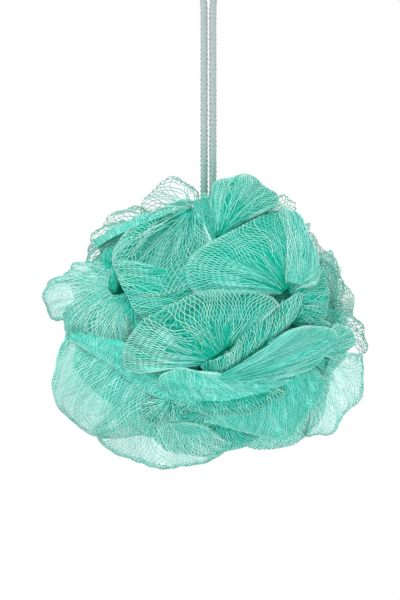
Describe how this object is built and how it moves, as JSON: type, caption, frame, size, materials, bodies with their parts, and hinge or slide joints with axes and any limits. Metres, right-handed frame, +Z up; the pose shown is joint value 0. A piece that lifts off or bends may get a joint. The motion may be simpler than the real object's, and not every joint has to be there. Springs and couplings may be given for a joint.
{
  "type": "mesh bath pouf",
  "caption": "Ball of folded plastic netting gathered at its waist by a braided cord, which rises as a hanging loop.",
  "frame": {"origin": "inside top of the hanging loop, where a hook carries the pouf", "axes": "+Z up along the hanging cord, -Y out of the ball's face, +X to the right of the face"},
  "size_m": [0.1289, 0.1138, 0.2151],
  "materials": {
    "netting": "fine extruded polyethylene netting, mint green, lightly glossy threads over a see-through mesh",
    "cord": "braided round cord, pale grey-green, matte"
  },
  "bodies": {
    "root": {"netting": "netting", "waist_turns": "cord", "tie_knot": "cord", "hanging_loop": "cord"}
  },
  "joints": []
}
